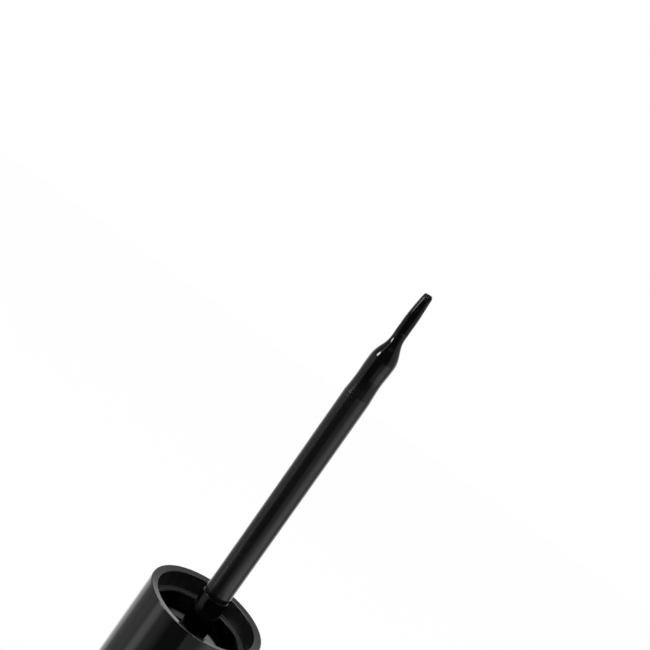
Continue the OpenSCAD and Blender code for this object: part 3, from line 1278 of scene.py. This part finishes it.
@dataclass
class Tuft:
    """The wet brush: filaments drawn together by ink, with a thin film over them.

    Heights are over the lip.

    Attributes:
        throat_r: Radius of the tuft in the nose.
        belly_r: Radius where the tuft is full, past the nose.
        tip_r: Radius at the tip.
        start: Height where the filaments start, inside the nose.
        throat: Height of the nose's end.
        belly: Height where the tuft starts to draw in.
        tip: Height of the longest filament.
        opening: Height over which the filaments open out past the nose.
        taper_power: Power with which the tuft draws in from the belly to the tip.
        filaments: Number of filaments.
        strand_points: Number of points along a filament.
        strand_sides: Number of its sides.
        width: Width of a filament.
        jag: Amount by which the shortest outer filament falls short of the longest.
        tip_drift: Sideways bend of the tuft at its tip.
        seed: Seed of the filaments' lengths.
        lobes: Turn of the lobes' sine for one turn round the tuft.
        lobe_turn: Phase of that sine.
        groove: Depth of the grooves between the lobes, at the tip.
        chance_share: Share of chance in the filaments' lengths. The lobes have the rest.
        clumps: Number of clumps round the tuft.
        clump_turn: Angle in radians by which the filaments draw together in clumps, at the tip.
        end_from: Share of a filament's length where its end starts to thin.
        end_share: Share of its width at its very end.
        dry_low: Distance under the tip where the ink starts to look dry.
        dry_high: Distance over the tip where it would be driest.
        film_steps: Number of steps up the ink's skin.
        steps_round: Number of steps round it.
        coat: Thickness of the skin.
        bead: Thickness that it gains at the nose's end.
        bead_down: Height over which that fades out on the nose.
        bead_up: Height over which it fades out on the filaments.
        lap: Length by which the skin laps over the nose.
        sink: Depth by which the skin sinks in where it dries.
        sink_from: Distance under the tip where that starts.
        sink_to: Distance under the tip where it is full.
        close_share: Share of the skin's radius on which it closes over the filaments.
        close_low: Height of that place over the skin's end.
        close_top: Height of the skin's top over its end.
        ripple: Depth of the fine ripples round the skin.
        ripples: Number of those ripples.
        second_ripple: Depth of a second set of ripples.
        second_ripples: Number of those.
    """

    throat_r: float = 0.59
    belly_r: float = 0.735
    tip_r: float = 0.495
    start: float = 35.1
    throat: float = 36.95
    belly: float = 38.5
    tip: float = 42.08
    opening: float = 0.9
    taper_power: float = 1.5
    filaments: int = 420
    strand_points: int = 15
    strand_sides: int = 6
    width: float = 0.052
    jag: float = 0.42
    tip_drift: float = 0.09
    seed: int = 7
    lobes: float = 1.5
    lobe_turn: float = 0.9
    groove: float = 0.028
    chance_share: float = 0.35
    clumps: float = 3.0
    clump_turn: float = 0.22
    end_from: float = 0.93
    end_share: float = 0.45
    dry_low: float = 0.2
    dry_high: float = 0.3
    film_steps: int = 72
    steps_round: int = 180
    coat: float = 0.012
    bead: float = 0.012
    bead_down: float = 0.14
    bead_up: float = 0.4
    lap: float = 0.75
    sink: float = 0.045
    sink_from: float = 1.1
    sink_to: float = 0.1
    close_share: float = 0.6
    close_low: float = 0.08
    close_top: float = 0.12
    ripple: float = 0.0018
    ripples: int = 29
    second_ripple: float = 0.0012
    second_ripples: int = 17

    def build(self) -> list[bpy.types.Object]:
        """Makes the filaments and the film.

        Returns:
            The two pieces.
        """
        ink = WetInk(
            "ink_finish",
            (0.0008, 0.0008, 0.0009),
            0.07,
            index=1.42,
            dry_from=(LIP + self.tip - self.dry_low) * MM,
            dry_to=(LIP + self.tip + self.dry_high) * MM,
        )
        material = ink.make()
        strands = self.strands(material)
        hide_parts("brush_tuft")
        finish_piece(strands)
        film = link_mesh("ink_film", self.film())
        dress(film, material)
        finish_piece(film)
        return [strands, film]

    def drift(self, over: float) -> float:
        """Sideways bend of the tuft at a height over the lip."""
        t = part_way(over, self.throat, self.tip)
        return self.tip_drift * t * t

    def strands(self, material: bpy.types.Material) -> bpy.types.Object:
        """Makes every filament with a geometry node tree and bakes the result.

        Args:
            material: Material of the filaments.

        Returns:
            The filaments as one mesh.
        """
        values = {
            "Count": self.filaments,
            "Throat Radius": self.throat_r * MM,
            "Belly Radius": self.belly_r * MM,
            "Tip Radius": self.tip_r * MM,
            "Start": (LIP + self.start) * MM,
            "Throat": (LIP + self.throat) * MM,
            "Opening": self.opening * MM,
            "Belly": (LIP + self.belly) * MM,
            "Tip": (LIP + self.tip) * MM,
            "Jag": self.jag * MM,
            "Drift": self.tip_drift * MM,
            "Taper Power": self.taper_power,
            "Lobes": self.lobes,
            "Lobe Turn": self.lobe_turn,
            "Width": self.width * MM,
            "Seed": self.seed,
            "Material": material,
        }
        return bake("brush_filaments", self.strand_tree(), values)

    def strand_tree(self) -> bpy.types.GeometryNodeTree:
        """Builds the geometry node tree of the filaments.

        Returns:
            The tree, with named inputs for the tuft's sizes.
        """
        heights = ("Start", "Throat", "Opening", "Belly", "Tip", "Jag")
        widths = ("Throat Radius", "Belly Radius", "Tip Radius", "Drift", "Width")
        shares = ("Taper Power", "Lobes", "Lobe Turn")
        inputs = (*heights, *widths, *shares, "Count", "Seed", "Material")
        tree, entry, leave = new_group("tuft_filaments", "Geometry", inputs, ("Geometry",))

        points = tree.node("GeometryNodePoints")
        tree.join(entry["Count"], points.inputs["Count"])
        line = tree.node("GeometryNodeCurvePrimitiveLine")
        line.inputs["End"].default_value = (0.0, 0.0, 1.0)
        fine = tree.node("GeometryNodeResampleCurve")
        tree.join(line.outputs["Curve"], fine.inputs["Curve"])
        fine.inputs["Count"].default_value = self.strand_points
        index = tree.node("GeometryNodeInputIndex").outputs[0]
        share = tree.math("SQRT", tree.math("DIVIDE", tree.math("ADD", index, 0.5), entry["Count"]))
        golden = math.pi * (3 - math.sqrt(5))
        angle = tree.math("MULTIPLY", index, golden)
        chance = tree.node("FunctionNodeRandomValue", data_type="FLOAT")
        tree.join(index, chance.inputs["ID"])
        tree.join(entry["Seed"], chance.inputs["Seed"])

        kept = points.outputs[0]
        names = {"share": share, "angle": angle, "chance": chance.outputs["Value"]}
        for label, socket in names.items():
            store = tree.node("GeometryNodeStoreNamedAttribute", domain="POINT")
            store.inputs["Name"].default_value = label
            tree.join(kept, store.inputs["Geometry"])
            tree.join(socket, store.inputs["Value"])
            kept = store.outputs["Geometry"]
        instances = tree.node("GeometryNodeInstanceOnPoints")
        tree.join(kept, instances.inputs["Points"])
        tree.join(fine.outputs["Curve"], instances.inputs["Instance"])
        real = tree.node("GeometryNodeRealizeInstances")
        tree.join(instances.outputs["Instances"], real.inputs["Geometry"])

        read = {}
        for label in names:
            attribute = tree.node("GeometryNodeInputNamedAttribute")
            attribute.inputs["Name"].default_value = label
            read[label] = attribute.outputs["Attribute"]
        along = tree.node("GeometryNodeSplineParameter").outputs["Factor"]

        lobe = tree.math("MULTIPLY_ADD", read["angle"], entry["Lobes"], entry["Lobe Turn"])
        lobes = tree.math("ABSOLUTE", tree.math("SINE", lobe))
        lobed = tree.math("MULTIPLY", lobes, 1.0 - self.chance_share)
        short = tree.math("MULTIPLY_ADD", read["chance"], self.chance_share, lobed)
        outer = tree.math("POWER", read["share"], 1.5)
        cut = tree.math("MULTIPLY", tree.math("MULTIPLY", short, outer), entry["Jag"])
        top = tree.math("SUBTRACT", entry["Tip"], cut)
        z = tree.math("MULTIPLY_ADD", along, tree.math("SUBTRACT", top, entry["Start"]), entry["Start"])

        open_top = tree.math("ADD", entry["Throat"], entry["Opening"])
        opened = tree.math("MULTIPLY", tree.span(z, entry["Throat"], open_top), math.pi)
        soft = tree.math("MULTIPLY_ADD", tree.math("COSINE", opened), -0.5, 0.5)
        swell = tree.math("SUBTRACT", entry["Belly Radius"], entry["Throat Radius"])
        open_r = tree.math("MULTIPLY_ADD", soft, swell, entry["Throat Radius"])
        to_tip = tree.span(z, entry["Belly"], entry["Tip"])
        drawn_in = tree.math("SUBTRACT", entry["Tip Radius"], entry["Belly Radius"])
        drawn = tree.math("POWER", to_tip, entry["Taper Power"])
        reach = tree.math("MULTIPLY_ADD", drawn, drawn_in, open_r)
        drifted = tree.math("POWER", tree.span(z, entry["Throat"], entry["Tip"]), 2.0)

        wave = tree.math("SINE", tree.math("MULTIPLY_ADD", read["angle"], self.clumps, 1.0))
        clump = tree.math("MULTIPLY", wave, self.clump_turn)
        turned = tree.math("MULTIPLY_ADD", clump, tree.math("POWER", to_tip, 3.0), read["angle"])
        out = tree.math("MULTIPLY", read["share"], reach)
        x = tree.math("MULTIPLY", out, tree.math("COSINE", turned))
        x = tree.math("MULTIPLY_ADD", drifted, entry["Drift"], x)
        y = tree.math("MULTIPLY", out, tree.math("SINE", turned))
        move = tree.node("GeometryNodeSetPosition")
        tree.join(real.outputs["Geometry"], move.inputs["Geometry"])
        tree.join(tree.vector(x, y, z), move.inputs["Position"])

        taper = tree.ramp(along, self.end_from, 1.0, (1.0, self.end_share))
        circle = tree.node("GeometryNodeCurvePrimitiveCircle")
        circle.inputs["Resolution"].default_value = self.strand_sides
        tree.join(tree.math("MULTIPLY", entry["Width"], 0.5), circle.inputs["Radius"])
        swept = tree.sweep(move.outputs["Geometry"], circle.outputs["Curve"], taper, entry["Material"])
        tree.join(swept, leave["Geometry"])
        return tree.tree

    def film(self) -> bmesh.types.BMesh:
        """Skin of ink that runs from the nose over the strands and breaks up near the tip.

        Returns:
            The film's mesh.
        """
        start, stop = self.throat - self.lap, self.tip - self.jag
        points = [(self.belly_r - self.coat, LIP + start)]
        for i in range(1, self.film_steps + 1):
            over = even(start, stop, i / self.film_steps)
            points.append((self.skin(over), LIP + over))
        top = LIP + stop
        points += [(self.skin(stop) * self.close_share, top + self.close_low), (0.0, top + self.close_top)]

        def bend(z: float) -> Point2:
            """Follows the tuft's drift."""
            return self.drift(z - LIP), 0.0

        def grooves(z: float, angle: float) -> float:
            """Shallow grooves between the lobes and fine ripples over the strands."""
            t = part_way(z - LIP, self.throat, self.tip)
            wide = self.groove * t * t * (abs(math.sin(self.lobes * angle + self.lobe_turn)) - 0.6)
            fine = self.ripple * math.sin(self.ripples * angle + 1.5 * math.sin(3 * t))
            fine += self.second_ripple * math.sin(self.second_ripples * angle + 2.0 * t)
            return wide + fine * min(1.0, 3.0 * t)

        return lathe(points, self.steps_round, bend=bend, swell=grooves)

    def skin(self, over: float) -> float:
        """Radius of the ink's skin at a height over the lip, where it laps over the nose's edge."""
        sunk = self.sink * eased_way(over, self.tip - self.sink_from, self.tip - self.sink_to)
        if over > self.belly:
            drawn = part_way(over, self.belly, self.tip) ** self.taper_power
            return even(self.belly_r, self.tip_r, drawn) + self.coat - sunk
        spread = self.bead_down if over < self.throat else self.bead_up
        bead = self.bead * math.exp(-(((over - self.throat) / spread) ** 2))
        return self.belly_r + self.coat + bead - sunk


@dataclass
class Viewpoint:
    """The photograph's viewing angle: where the eye is and where it looks.

    Attributes:
        out: Distance of the eye from the axis, in millimetres, towards -Y.
        up: Height of the eye over the lip.
        yaw: Turn to the left of +Y, in degrees.
        pitch: Tilt above the horizon, in degrees.
        roll: Turn of the camera about its own axis, in degrees.
        lens: Focal length in millimetres.
        sensor: Width of the sensor.
        near: Nearest distance that it sees.
        far: Farthest distance that it sees.
    """

    out: float = 81.82
    up: float = 35.36
    yaw: float = 5.121
    pitch: float = -1.721
    roll: float = 35.023
    lens: float = 41.59
    sensor: float = 36.0
    near: float = 2.0
    far: float = 20000.0

    def build(self) -> bpy.types.Object:
        """Makes the camera.

        Returns:
            The camera's object.
        """
        data = bpy.data.cameras.new("camera")
        data.sensor_width = self.sensor
        data.lens = self.lens
        data.clip_start = self.near * MM
        data.clip_end = self.far * MM
        camera = link_new("camera", data)
        turn = Matrix.Rotation(math.radians(self.yaw), 4, "Z")
        tilt = Matrix.Rotation(math.radians(90 + self.pitch), 4, "X")
        roll = Matrix.Rotation(math.radians(self.roll), 4, "Z")
        place = Matrix.Translation((0.0, -self.out * MM, (LIP + self.up) * MM))
        camera.matrix_world = place @ turn @ tilt @ roll
        bpy.context.scene.camera = camera
        return camera


@dataclass(frozen=True)
class Softbox:
    """A soft panel that lights the applicator and the floor.

    Attributes:
        name: Name of the lamp.
        azimuth: Direction from the object, in degrees to the right of the front.
        elevation: Direction above the horizon, in degrees.
        distance: Distance from the target, in millimetres.
        width: Width of the panel.
        height: Height of the panel.
        radiance: Brightness of its face, where 1 is white.
        aim: Height of the target over the lip.
    """

    name: str
    azimuth: float
    elevation: float
    distance: float
    width: float
    height: float
    radiance: float
    aim: float = 10.0

    def build(self) -> bpy.types.Object:
        """Makes the lamp.

        Returns:
            The lamp's object.
        """
        data = bpy.data.lights.new(self.name, "AREA")
        data.shape = "RECTANGLE"
        data.size = self.width * MM
        data.size_y = self.height * MM
        data.energy = self.radiance * math.pi * data.size * data.size_y
        lamp = link_new(self.name, data)
        a, e = math.radians(self.azimuth), math.radians(self.elevation)
        back = Vector((math.sin(a) * math.cos(e), -math.cos(a) * math.cos(e), math.sin(e)))
        target = Vector((0.0, 0.0, (LIP + self.aim) * MM))
        lamp.location = target + back * self.distance * MM
        lamp.rotation_mode = "QUATERNION"
        lamp.rotation_quaternion = (-back).to_track_quat("-Z", "Y")
        lamp.visible_camera = False
        lamp.visible_glossy = False
        return lamp


@dataclass(frozen=True)
class Glow:
    """A bright patch of the studio, as the gloss of the applicator mirrors it.

    Attributes:
        west: First azimuth in degrees, counted to the right of the front.
        east: Last azimuth.
        low: Lowest elevation in degrees.
        high: Highest elevation.
        radiance: Brightness, where 1 is white. A black card has a negative one.
        soft: Width of the first azimuth's edge.
        soft_east: Width of the last azimuth's edge.
        rise: Width of the upper and lower edges.
    """

    west: float
    east: float
    low: float
    high: float
    radiance: float
    soft: float = 14.0
    soft_east: float = 14.0
    rise: float = 8.0

    def add(self, tree: Tree, azimuth: Socket, elevation: Socket) -> Socket:
        """Adds the patch to a tree.

        Args:
            tree: The tree.
            azimuth: Azimuth in degrees.
            elevation: Elevation in degrees.

        Returns:
            Brightness of the patch in that direction.
        """
        half, half_east, edge = self.soft / 2, self.soft_east / 2, self.rise / 2
        across = tree.ramp(azimuth, self.west - half, self.west + half)
        away = tree.ramp(azimuth, self.east - half_east, self.east + half_east, (1.0, 0.0))
        up = tree.ramp(elevation, self.low - edge, self.low + edge)
        down = tree.ramp(elevation, self.high - edge, self.high + edge, (self.radiance, 0.0))
        return tree.math("MULTIPLY", tree.math("MULTIPLY", across, away), tree.math("MULTIPLY", up, down))


@dataclass
class Studio:
    """A white sweep, soft panels at both sides and a dark front.

    Attributes:
        floor_span: Half width of the floor, in millimetres.
        floor_white: Colour of the floor.
        floor_glow: Share of the floor's look that the eye sees unshaded.
        floor_gap: Distance of the floor under the foot, in millimetres.
        eye_level: Height over the foot from which the floor's mirror image is worked out.
        dim: Brightness of the unlit studio.
        panels: The lamps.
        glows: The bright patches that gloss mirrors.
    """

    floor_span: float = 900.0
    floor_white: float = 0.97
    floor_glow: float = 0.6
    floor_gap: float = 0.02
    eye_level: float = 52.0
    dim: float = 0.05
    panels: tuple[Softbox, ...] = (
        Softbox("panel_left", -78.0, 20.0, 320.0, 160.0, 260.0, 0.5),
        Softbox("panel_right", 75.0, 18.0, 340.0, 200.0, 260.0, 0.4),
    )
    glows: tuple[Glow, ...] = (
        Glow(-260.0, -163.0, -100.0, 14.0, 0.65, soft_east=8.0, rise=14.0),
        Glow(-163.0, -147.0, -100.0, 14.0, 1.25, soft=8.0, soft_east=8.0, rise=14.0),
        Glow(-147.0, -127.0, -100.0, 14.0, 0.85, soft=8.0, rise=14.0),
        Glow(127.0, 260.0, -100.0, 14.0, 1.0, rise=14.0),
        Glow(-400.0, 400.0, 50.0, 100.0, 1.2, rise=16.0),
        Glow(-180.0, -40.0, 50.0, 100.0, 2.4, rise=16.0),
        Glow(-260.0, -127.0, 14.0, 60.0, 0.5, soft_east=20.0, rise=14.0),
        Glow(127.0, 260.0, 14.0, 60.0, 0.5, soft=20.0, rise=14.0),
        Glow(-127.0, -54.0, -100.0, 6.0, 0.42, soft_east=26.0, rise=12.0),
        Glow(-127.0, -60.0, 6.0, 48.0, 0.2, soft_east=20.0, rise=12.0),
        Glow(-127.0, -98.0, -100.0, -17.0, -0.1, soft_east=10.0, rise=8.0),
        Glow(-78.0, -62.0, -100.0, -17.0, 0.66, soft=10.0, soft_east=12.0, rise=8.0),
        Glow(-54.0, -38.0, -100.0, -17.0, 0.19, soft=12.0, soft_east=12.0, rise=8.0),
        Glow(-2.0, 127.0, -100.0, -20.0, 0.3, soft=4.0),
        Glow(8.0, 127.0, -20.0, -2.0, 0.3, soft=16.0),
        Glow(30.0, 94.0, -100.0, -17.0, 0.9, soft=24.0, soft_east=18.0, rise=10.0),
        Glow(47.0, 94.0, -17.0, -2.0, 0.8, soft=34.0, soft_east=18.0, rise=10.0),
        Glow(50.0, 127.0, -2.0, 44.0, 0.4, soft=20.0, rise=14.0),
        Glow(-76.0, -61.0, 9.2, 24.0, 16.0, soft=5.0, soft_east=5.0, rise=4.0),
        Glow(-75.0, -57.0, 24.0, 46.0, 1.2, soft=6.0, soft_east=6.0, rise=6.0),
    )

    def build(self) -> None:
        """Makes the floor, the surroundings and the lamps."""
        mirrored = self.mirrored()
        self.floor(mirrored)
        self.surroundings(mirrored)
        for panel in self.panels:
            panel.build()
        bpy.context.scene.view_settings.view_transform = "Standard"

    def mirrored(self) -> bpy.types.ShaderNodeTree:
        """Builds the node group that holds the studio's brightness by direction.

        Returns:
            The group, from a direction to a brightness.
        """
        tree, entry, leave = new_group("studio_brightness", "Shader", ("Direction",), ("Brightness",))
        unit = tree.node("ShaderNodeVectorMath", operation="NORMALIZE")
        tree.join(entry["Direction"], unit.inputs[0])
        axis = tree.axes(unit.outputs[0])
        ahead = tree.math("MULTIPLY", axis["Y"], -1.0)
        azimuth = tree.math("DEGREES", tree.math("ARCTAN2", axis["X"], ahead))
        elevation = tree.math("DEGREES", tree.math("ARCSINE", axis["Z"]))
        total = None
        for glow in self.glows:
            patch = glow.add(tree, azimuth, elevation)
            total = tree.math("ADD", patch, self.dim if total is None else total)
        tree.join(total, leave["Brightness"])
        return tree.tree

    def floor(self, mirrored: bpy.types.ShaderNodeTree) -> bpy.types.Object:
        """Makes the floor, which keeps the object's shadow.

        Args:
            mirrored: The studio's brightness by direction.

        Returns:
            The floor's object.
        """
        bm = bmesh.new()
        half = self.floor_span * MM
        bmesh.ops.create_grid(bm, x_segments=2, y_segments=2, size=half)
        floor = link_mesh("floor", bm, outwards=False)
        floor.location = (0.0, 0.0, -self.floor_gap * MM)
        material = bpy.data.materials.new("floor_white")
        material.use_nodes = True
        material.cycles.emission_sampling = "NONE"
        tree = Tree(material.node_tree)
        material.node_tree.nodes.clear()
        matt = tree.node("ShaderNodeBsdfDiffuse")
        tree.feed(matt.inputs["Color"], (self.floor_white,) * 3)
        down = tree.node("ShaderNodeVectorMath", operation="SUBTRACT")
        tree.join(tree.place(), down.inputs[0])
        down.inputs[1].default_value = (0.0, 0.0, self.eye_level * MM)
        studio = tree.group(mirrored, Direction=down.outputs[0])
        path = tree.node("ShaderNodeLightPath")
        glossy = path.outputs["Is Glossy Ray"]
        seen = tree.math("MAXIMUM", path.outputs["Is Camera Ray"], path.outputs["Is Transmission Ray"])
        glow = tree.node("ShaderNodeEmission")
        tree.feed(glow.inputs["Color"], WHITE)
        tree.join(tree.blend("FLOAT", glossy, 1.0, studio["Brightness"]), glow.inputs["Strength"])
        mix = tree.node("ShaderNodeMixShader")
        unshaded = tree.math("MULTIPLY", seen, self.floor_glow)
        tree.join(tree.math("MAXIMUM", unshaded, glossy), mix.inputs[0])
        tree.join(matt.outputs[0], mix.inputs[1])
        tree.join(glow.outputs[0], mix.inputs[2])
        leave = tree.node("ShaderNodeOutputMaterial")
        tree.join(mix.outputs[0], leave.inputs["Surface"])
        dress(floor, material)
        return floor

    def surroundings(self, mirrored: bpy.types.ShaderNodeTree) -> None:
        """Makes the world: white to the eye and to matt surfaces, the studio's panels to gloss.

        Args:
            mirrored: The studio's brightness by direction.
        """
        world = bpy.data.worlds.new("surroundings")
        bpy.context.scene.world = world
        world.use_nodes = True
        world.cycles.sampling_method = "NONE"
        tree = Tree(world.node_tree)
        world.node_tree.nodes.clear()
        direction = tree.node("ShaderNodeTexCoord").outputs["Generated"]
        studio = tree.group(mirrored, Direction=direction)
        glossy = tree.node("ShaderNodeLightPath").outputs["Is Glossy Ray"]
        back = tree.node("ShaderNodeBackground")
        tree.feed(back.inputs["Color"], WHITE)
        tree.join(tree.blend("FLOAT", glossy, 1.0, studio["Brightness"]), back.inputs["Strength"])
        leave = tree.node("ShaderNodeOutputWorld")
        tree.join(back.outputs[0], leave.inputs["Surface"])


def corners(box: tuple[Vector, Vector]) -> list[list[float]]:
    """Corners of a box as plain lists."""
    return [[float(v) for v in corner] for corner in box]


def main() -> None:
    """Builds the studio and the applicator, and reports each piece."""
    logging.basicConfig(level=logging.INFO, format="%(name)s: %(message)s")
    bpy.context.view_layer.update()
    Viewpoint().build()
    Studio().build()
    for maker in (Cap(), Insert(), Gasket(), Wand(), Tuft()):
        for piece in maker.build():
            log.info("%s: %d faces", piece.name, len(piece.data.polygons))


if __name__ == "__main__":
    main()
